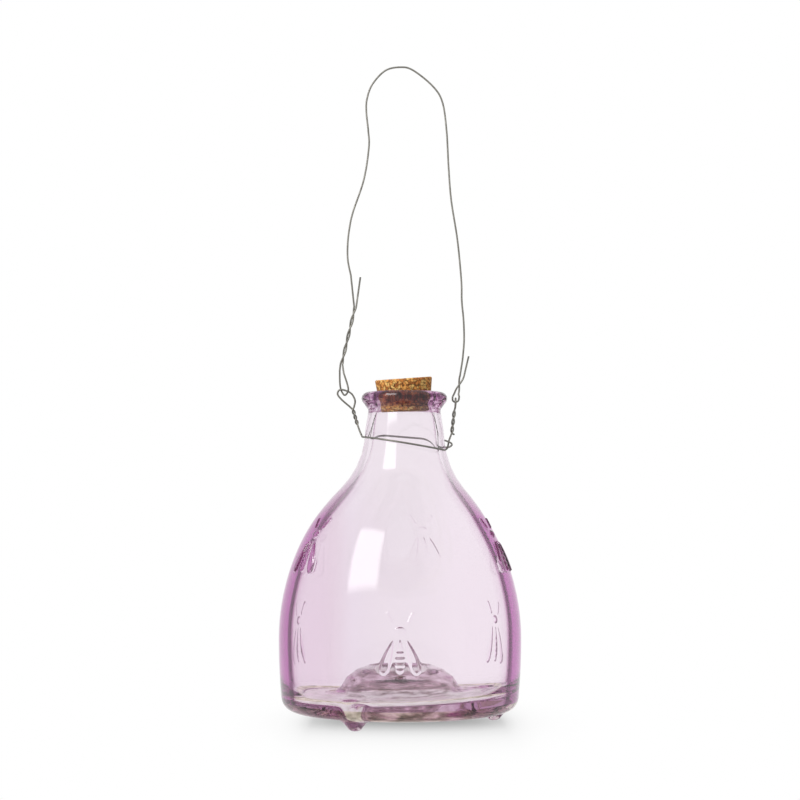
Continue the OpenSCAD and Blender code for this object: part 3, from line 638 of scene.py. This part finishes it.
def ring_point(angle):
    """Points of the ring round the neck, at angles in degrees from the right. The ring falls to the
    right, rises behind, and keeps its gap from the glass."""
    a = np.radians(np.atleast_1d(angle))[:, None]
    clear = RING_GAP + WIRE_R
    fall = np.tan(np.radians(RING_FALL)) * (outer_radius(np.array(RING_Z)) + clear)
    behind = smooth_step(np.sin(a) / RING_BACK_BLEND)
    z = RING_Z - fall * np.cos(a) + behind * (RING_BACK + RING_BACK_RIGHT * np.cos(a))
    r = outer_radius(z) + clear
    return np.concatenate([r * np.cos(a), r * np.sin(a), z], axis=1)


left_side, right_side = ring_point(180.0)[0], ring_point(0.0)[0]
left_link = np.array([-RIM_R - LEFT_LINK_OUT, 0.0, left_side[2] + LEFT_LINK_UP])
right_link = np.array([RIM_R + RIGHT_LINK_OUT, 0.0, right_side[2] + RIGHT_LINK_UP])
left_twist = [left_side + [-2.9, 0, 6.4], left_link + [4.2, 0, -9.7]]
right_twist = [right_side + [2.0, 0, 9.0], right_link + [-0.6, 0, -4.2]]
left_eye = left_link + np.array([
    [4.8, -0.3, -8], [5.2, -0.2, -5], [3.4, 0, -1.6], [0, 0, 0.1], [-2.6, 0, 0.2],
    [-3.5, 0, -1.9], [-1.6, 0.2, -4.5], [2.2, 0.4, -7.8]])
right_eye = right_link + np.array([
    [-0.2, 1.6, -2.8], [0, 2.6, -0.6], [0, 1.9, 1.3], [0, 0, 1.9],
    [0, -1.9, 1.3], [0, -2.6, -0.6], [-0.2, -1.6, -2.8]])
hook_end = right_side + np.array([
    [-1.7, -6.7, 5.2], [0, -5.7, 4.6], [1.4, -4.2, 4], [2, -2, 3.4], [1.8, 0.8, 2.8], [0.6, 4, 2.2]])
cut_end = right_side + [3.3, 1.0, 8.4]
left_back_lead = left_side + np.array([[-0.4, 2.6, 0.3], [-1.1, 1.7, 1.6], [-2, 1.1, 3.8]])
left_front_lead = left_back_lead[::-1] * [1, -1, 1]
right_lead = right_side + np.array([[-0.3, -5.3, 1.5], [0.4, -3.2, 4.8], [1.3, -1.4, 7.2]])
neck_line = np.concatenate([
    through(np.concatenate([hook_end, ring_point(HOOK_JOIN)]), FINE_STEP),
    ring_point(np.linspace(*RING_BACK_RUN, RING_STEPS)),
    through(np.concatenate([ring_point(LEFT_BACK_JOIN), left_back_lead]), FINE_STEP),
    strand(*left_twist, STRAND_R, EYE_TURNS, 90),
    through(left_eye, FINE_STEP),
    strand(*left_twist, STRAND_R, EYE_TURNS, 270)[::-1],
    through(np.concatenate([left_front_lead, ring_point(LEFT_FRONT_JOIN)]), FINE_STEP),
    ring_point(np.linspace(*RING_FRONT_RUN, RING_STEPS)),
    through(np.concatenate([ring_point(RIGHT_JOIN), right_lead]), FINE_STEP),
    strand(*right_twist, STRAND_R, EYE_TURNS, 270),
    through(right_eye, FINE_STEP),
    strand(*right_twist, STRAND_R, EYE_TURNS, 90)[::-1],
    [cut_end],
])

dull_wire = bare_finish("dull_wire")
tree = dull_wire.node_tree
spot = add_node(tree, "TexCoord").outputs["Object"]
patina = add_node(tree, "TexNoise", {"Vector": spot, "Scale": PATINA_SCALE}).outputs["Fac"]
worn = add_node(tree, "MapRange", {
    "Value": patina, "From Min": PATINA_SPAN[0], "From Max": PATINA_SPAN[1],
    "To Min": WIRE_ROUGHNESS[0], "To Max": WIRE_ROUGHNESS[1]})
crust = add_node(tree, "Bump", {
    "Height": patina, "Strength": CRUST_STRENGTH, "Distance": CRUST_DEPTH})
wire_shader = add_node(tree, "BsdfPrincipled", {
    "Base Color": ramp(tree, patina, PATINA_TONES), "Metallic": WIRE_METALLIC,
    "Roughness": worn.outputs["Result"], "Normal": crust.outputs["Normal"]})
add_node(tree, "OutputMaterial", {"Surface": wire_shader.outputs["BSDF"]})

neck_wire = skin("trap_neck_wire", tube(neck_line))
neck_wire.data.materials.append(dull_wire)
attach(neck_wire, "collar")
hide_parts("neck_wire")


# The hanger: a second length of the same wire, bent by hand into a tall arch. Its ends pass
# through the eyes of the neck wire and are twisted back on themselves.
HANGER_RISE, HANGER_TURNS, HANGER_TWIST_STEPS, LONG_STEP = 164.0, 2.0, 80, 1.2
LOOP_L, TWIST_L, TAIL_L = 13.0, 29.0, 15.0
LOOSE_R, LOOSE_TURNS = 1.0, 0.5
hanger_top = left_link[2] + HANGER_RISE
left_loop = left_link + np.array([
    [-0.4, -0.8, 8.5], [1.5, -1.5, 2.6], [1.8, -1.6, -0.4], [0.1, 0, -2.4],
    [-1.7, 1.6, 0], [-2.4, 1.3, 3.7], [-2.5, 0.6, 10]])
hanger_twist = [left_link + [-1.6, 0, LOOP_L], left_link + [5.2, 0, LOOP_L + TWIST_L]]
left_tail = left_link + [7.8, 0, LOOP_L + TWIST_L + TAIL_L]
right_loop = right_link + np.array([
    [1.8, 0, 2.6], [1.4, 0, 0.7], [0, 0, 0], [-1.4, 0, 0.7], [-1.5, 0, 2.6]])
loose_twist = [right_link + [0.5, 0, 4.4], right_link + [3.2, 0, 13.0]]
right_tail = right_link + [6.6, 0, 23.0]
left_leg = np.array([
    [3, 0.354], [1.5, 0.4], [1.4, 0.45], [2.3, 0.5], [4.1, 0.55], [9.5, 0.65], [12, 0.75],
    [11.7, 0.8], [10.7, 0.86], [11, 0.9], [13.7, 0.946], [20.2, 0.989]])
right_leg = np.array([
    [-21.3, 0.991], [-11.3, 0.943], [-6.4, 0.895], [-4.3, 0.81], [-3.3, 0.7], [-2, 0.6],
    [1.1, 0.48], [3, 0.36], [3.2, 0.3], [4.1, 0.24], [4.3, 0.18], [3.5, 0.124]])


def leg(wander, link):
    """Points of a leg: sideways from its link, at a share of the rise from the link to the top."""
    return np.stack([
        link[0] + wander[:, 0], np.zeros(len(wander)),
        link[2] + wander[:, 1] * (hanger_top - link[2])], axis=1)


crown = [[(left_link[0] + right_link[0]) / 2, 0.0, hanger_top]]
arch = np.concatenate([leg(left_leg, left_link), crown, leg(right_leg, right_link)])
hanger_line = np.concatenate([
    [left_tail],
    strand(*hanger_twist, STRAND_R, HANGER_TURNS, 0, HANGER_TWIST_STEPS)[::-1],
    through(left_loop, FINE_STEP),
    strand(*hanger_twist, STRAND_R, HANGER_TURNS, 180, HANGER_TWIST_STEPS),
    through(arch, LONG_STEP),
    strand(*loose_twist, LOOSE_R, LOOSE_TURNS, 0)[::-1],
    through(right_loop, FINE_STEP),
    strand(*loose_twist, LOOSE_R, LOOSE_TURNS, 180),
    [right_tail],
])

hanger = skin("trap_hanger", tube(hanger_line))
hanger.data.materials.append(dull_wire)
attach(hanger, "hanger")
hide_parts("hanger_wire")


# The studio: a white floor and surround, and a camera at the jar's shoulder that looks a little up.
# Two soft lamps share one place at the front left: the glass mirrors one, and the other only lights.
# Sizes here are in metres.
# The paper is the grey of the floor near the trap, which is painted shade there.
FLOOR_HALF, SHADE_R, SHADE_X, SHADE_PAPER = 2.0, 0.15, 0.0012, (0.62, 0.62, 0.62, 1.0)
SHADE_FADE = [
    (0.0, 0.0), (0.073, 0.0), (0.153, 0.22), (0.227, 0.45), (0.3, 0.63), (0.373, 0.72), (0.44, 0.81),
    (0.507, 0.86), (0.573, 0.90), (0.64, 0.93), (0.8, 0.98), (1.0, 1.0)]
SHADE_SIDES = [
    (0.0, 0.0), (0.227, 0.127), (0.31, 0.204), (0.36, 0.46), (0.41, 0.653), (0.6, 1.0), (1.0, 1.0)]
# The lift through the glass is painted light on the floor.
SURROUND_LIGHT, THROUGH_GLASS_PAINTED_LIGHT, LIGHT_BOUNCES = 0.5, 0.35, 24
LAMP_PLACE, LAMP_SIZE, LAMP_SOFT = (-0.55, -0.62, 0.765), (0.60, 0.77), 0.3
LAMP_ACROSS, LAMP_BACK = (0.755, -0.6326, 0.17), (-0.6377, -0.6534, 0.407)
LAMPS = (("soft_lamp", 8.3, True), ("fill_lamp", 6.4, False))
CAMERA_PLACE, CAMERA_LENS, CAMERA_PITCH = (-0.0022, -0.865, 0.1038), 78.0, 3.63

scene = bpy.context.scene
scene.view_settings.view_transform = "Standard"
scene.cycles.max_bounces = LIGHT_BOUNCES
scene.cycles.transmission_bounces = LIGHT_BOUNCES
scene.cycles.glossy_bounces = LIGHT_BOUNCES


def seen_rays(tree):
    """Two sockets: 1 for the rays that show the background to the camera, in a mirror or through
    glass, and 0 for those that only light, and then 1 for those through glass alone."""
    rays = add_node(tree, "LightPath").outputs
    direct = work_out(tree, "MAXIMUM", rays["Is Camera Ray"], rays["Is Glossy Ray"])
    through_glass = rays["Is Transmission Ray"]
    return work_out(tree, "MAXIMUM", direct, through_glass), through_glass


# The shade under the trap is partly painted. Near the trap the floor is a grey paper, lit by the
# lamps and the surround and darker where the glass takes some of the surround's light, and it
# fades out to plain white, slowly across the base and quickly beside it.
white_floor = bare_finish("white_floor")
tree = white_floor.node_tree
seen, through_glass = seen_rays(tree)
spot = add_node(tree, "TexCoord").outputs["Object"]
from_jar = add_node(tree, "VectorMath", {
    0: spot, 1: (1.0 / SHADE_R, 1.0 / SHADE_R, 0.0), 2: (-SHADE_X / SHADE_R, 0.0, 0.0)},
    operation="MULTIPLY_ADD")
either_side = add_node(
    tree, "VectorMath", {0: from_jar.outputs["Vector"]}, operation="ABSOLUTE").outputs["Vector"]
apart = add_node(tree, "SeparateXYZ", {"Vector": either_side}).outputs
joined = add_node(tree, "CombineXYZ", {"X": ramp(tree, apart["X"], SHADE_SIDES), "Y": apart["Y"]})
reach = add_node(tree, "VectorMath", {0: joined.outputs["Vector"]}, operation="LENGTH").outputs["Value"]
white_share = work_out(tree, "MULTIPLY", ramp(tree, reach, SHADE_FADE), seen)
shade_paper = add_node(tree, "BsdfDiffuse", {"Color": SHADE_PAPER}).outputs["BSDF"]
# Where the floor is seen through the glass it glows: painted light, which stands in for light the glass
# gathers onto the floor.
painted_lift = add_node(tree, "Emission", {"Strength": work_out(tree, "MULTIPLY", through_glass, THROUGH_GLASS_PAINTED_LIGHT)})
shaded = add_node(tree, "AddShader", {0: shade_paper, 1: painted_lift.outputs["Emission"]}).outputs["Shader"]
white = add_node(tree, "Emission").outputs["Emission"]
surface = add_node(tree, "MixShader", {"Fac": white_share, 1: shaded, 2: white}).outputs["Shader"]
add_node(tree, "OutputMaterial", {"Surface": surface})

corners = FLOOR_HALF * np.array([[-1.0, -1, 0], [1, -1, 0], [1, 1, 0], [-1, 1, 0]])
floor_mesh = bpy.data.meshes.new("studio_floor")
floor_mesh.from_pydata(corners.tolist(), [], [[0, 1, 2, 3]])
floor_mesh.materials.append(white_floor)
studio_floor = bpy.data.objects.new("studio_floor", floor_mesh)
scene.collection.objects.link(studio_floor)

world = bpy.data.worlds.new("white_surround")
world.use_nodes = True
tree = world.node_tree
tree.nodes.clear()
seen, _ = seen_rays(tree)
level = add_node(tree, "MapRange", {"Value": seen, "To Min": SURROUND_LIGHT, "To Max": 1.0})
surround = add_node(tree, "Background", {
    "Color": (*CLEAR, 1.0), "Strength": level.outputs["Result"]})
add_node(tree, "OutputWorld", {"Surface": surround.outputs["Background"]})
scene.world = world

lamp_axes = Matrix((LAMP_ACROSS, np.cross(LAMP_BACK, LAMP_ACROSS), LAMP_BACK)).transposed()
for name, watts, mirrored in LAMPS:
    lamp_data = bpy.data.lights.new(name, "AREA")
    lamp_data.shape = "RECTANGLE"
    lamp_data.size, lamp_data.size_y = LAMP_SIZE
    lamp_data.energy = watts
    lamp_data.use_shadow = False
    lamp_data.use_nodes = True
    tree = lamp_data.node_tree
    tree.nodes.clear()
    spot = add_node(tree, "NewGeometry").outputs["Parametric"]
    off_centre = add_node(tree, "VectorMath", {0: spot, 1: (0.5, 0.5, 0.5)}, operation="SUBTRACT")
    either_side = add_node(
        tree, "VectorMath", {0: off_centre.outputs["Vector"]}, operation="ABSOLUTE").outputs["Vector"]
    apart = add_node(tree, "SeparateXYZ", {"Vector": either_side}).outputs
    across, upright = (
        add_node(tree, "MapRange", {
            "Value": apart[axis], "From Min": 0.5, "From Max": 0.5 - 0.5 * LAMP_SOFT},
            interpolation_type="SMOOTHSTEP").outputs["Result"]
        for axis in "XY")
    shine = add_node(tree, "Emission", {"Strength": work_out(tree, "MULTIPLY", across, upright)})
    add_node(tree, "OutputLight", {"Surface": shine.outputs["Emission"]})
    lamp = bpy.data.objects.new(name, lamp_data)
    lamp.location = LAMP_PLACE
    lamp.rotation_euler = lamp_axes.to_euler()
    lamp.visible_camera = False
    lamp.visible_glossy = mirrored
    lamp.visible_transmission = False
    scene.collection.objects.link(lamp)

camera_data = bpy.data.cameras.new("camera")
camera_data.lens = CAMERA_LENS
camera = bpy.data.objects.new("camera", camera_data)
camera.location = CAMERA_PLACE
camera.rotation_euler = (np.radians(90.0 + CAMERA_PITCH), 0.0, 0.0)
scene.collection.objects.link(camera)
scene.camera = camera
